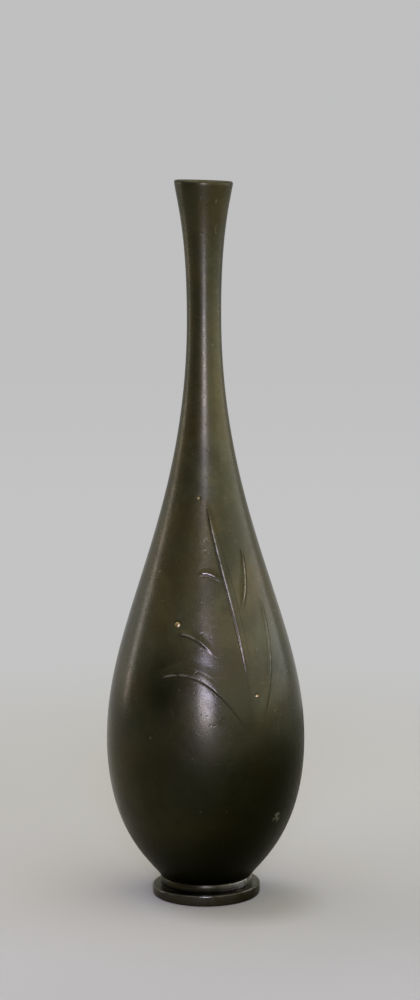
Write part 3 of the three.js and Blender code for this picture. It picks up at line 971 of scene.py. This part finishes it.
world = bpy.data.worlds.new("studio")
bpy.context.scene.world = world
world.use_nodes = True
world_tree = world.node_tree
backdrop = world_tree.nodes["Background"]
feed(world_tree, backdrop, {"Color": PALE})
fill = add_node(world_tree, "ShaderNodeBackground", {"Color": FILL, "Strength": FILL_STRENGTH})
ray = add_node(world_tree, "ShaderNodeLightPath").outputs
seen = arithmetic(world_tree, "MAXIMUM", ray["Is Camera Ray"], ray["Is Glossy Ray"])
seen = arithmetic(world_tree, "MAXIMUM", seen, ray["Is Transmission Ray"])
studio = add_node(world_tree, "ShaderNodeMixShader", {
    0: seen, 1: fill.outputs[0], 2: backdrop.outputs[0],
})
feed(world_tree, world_tree.nodes["World Output"], {"Surface": studio.outputs[0]})


# Lights
# A soft box beside the camera draws the bright line down the neck and the oval on the belly.
# Dimmer panels light the front from above, the right side and the left edge, and a wide one
# overhead the floor. A dark cloth, out of view, keeps the left half of the bronze dark.
AIM_HEIGHT = 0.14
CLOTH_WIDTH = 1.16
CLOTH_HEIGHT = 0.56
CLOTH_TURN = -48
CLOTH_DISTANCE = 1.30
CLOTH_MIDDLE = 0.28
CLOTH_BLACK = (0.02, 0.02, 0.02, 1)
CLOTH_ROUGHNESS = 0.9
COOL = (0.91, 0.89, 1.95)
PALE_BLUE = (0.96, 1.0, 1.20)
WHITE = (1.0, 1.0, 1.0)
PINK = (1.02, 0.95, 1.10)
SUNNY = (1.03, 1.01, 0.91)
# Name, turn in degrees from the front, distance, height, width, tallness, radiance, colour, shape
PANELS = (
    ("front_soft", 1, 1.15, 0.287, 0.33, 0.375, 28, COOL, "ELLIPSE"),
    ("front_upper", 8, 1.20, 0.62, 0.60, 0.34, 0.95, PALE_BLUE, "RECTANGLE"),
    ("right_near", 36, 1.20, 0.40, 0.76, 0.66, 1.50, PALE_BLUE, "RECTANGLE"),
    ("right_panel", 90, 1.15, 0.38, 1.60, 0.60, 2.3, PALE_BLUE, "RECTANGLE"),
    ("left_panel", -122, 1.15, 0.20, 0.60, 0.46, 0.35, WHITE, "RECTANGLE"),
    ("left_strip", -111, 1.15, 0.345, 0.17, 0.59, 4.7, PINK, "RECTANGLE"),
    ("overhead", 0, 0.10, 1.40, 2.40, 2.40, 1.00, SUNNY, "RECTANGLE"),
)


def face_vase(thing, turn, distance, height, aim_height):
    """Places a thing at a turn in degrees from the front, facing the vase, out of view."""
    angle = math.radians(turn)
    spot = Vector((distance * math.sin(angle), -distance * math.cos(angle), height))
    thing.rotation_mode = "QUATERNION"
    thing.rotation_quaternion = (Vector((0, 0, aim_height)) - spot).to_track_quat("-Z", "Y")
    thing.location = spot
    thing.visible_camera = False


for name, turn, distance, height, width, tallness, radiance, color, shape in PANELS:
    panel = bpy.data.lights.new(name, "AREA")
    panel.color = color
    panel.shape = shape
    panel.size = width
    panel.size_y = tallness
    area = width * tallness * (math.pi / 4 if shape == "ELLIPSE" else 1)
    panel.energy = radiance * math.pi * area
    face_vase(make_object(name, panel), turn, distance, height, AIM_HEIGHT)

cloth_paint = new_material("dark_cloth")
feed(cloth_paint.node_tree, cloth_paint.node_tree.nodes["Principled BSDF"], {
    "Base Color": CLOTH_BLACK, "Roughness": CLOTH_ROUGHNESS,
})
cloth_flat = bmesh.new()
bmesh.ops.create_grid(cloth_flat, x_segments=1, y_segments=1, size=0.5)
bmesh.ops.scale(cloth_flat, vec=(CLOTH_WIDTH, CLOTH_HEIGHT, 1), verts=cloth_flat.verts[:])
cloth = make_object("dark_cloth", make_mesh("dark_cloth", cloth_flat, cloth_paint))
face_vase(cloth, CLOTH_TURN, CLOTH_DISTANCE, CLOTH_MIDDLE, CLOTH_MIDDLE)


# Camera
# The photograph's viewing angle: 1.08 m away and a little above the mouth, looking down 8
# degrees, with a hair of roll because the vase in it leans that way.
CAMERA_PLACE = (0.0022, -1.0824, 0.32282)
CAMERA_PITCH = math.radians(8.14)
CAMERA_ROLL = math.radians(0.2)
CAMERA_LENS = 94.65
CAMERA_SENSOR = 36
CAMERA_NEAR = 0.05
CAMERA_FAR = 50

camera_data = bpy.data.cameras.new("camera")
camera_data.lens = CAMERA_LENS
camera_data.sensor_width = CAMERA_SENSOR
camera_data.clip_start = CAMERA_NEAR
camera_data.clip_end = CAMERA_FAR
camera = make_object("camera", camera_data)
camera.location = CAMERA_PLACE
look = Matrix.Rotation(UPRIGHT - CAMERA_PITCH, 4, "X") @ Matrix.Rotation(-CAMERA_ROLL, 4, "Z")
camera.rotation_euler = look.to_euler()
bpy.context.scene.camera = camera
bpy.context.scene.view_settings.view_transform = "Standard"
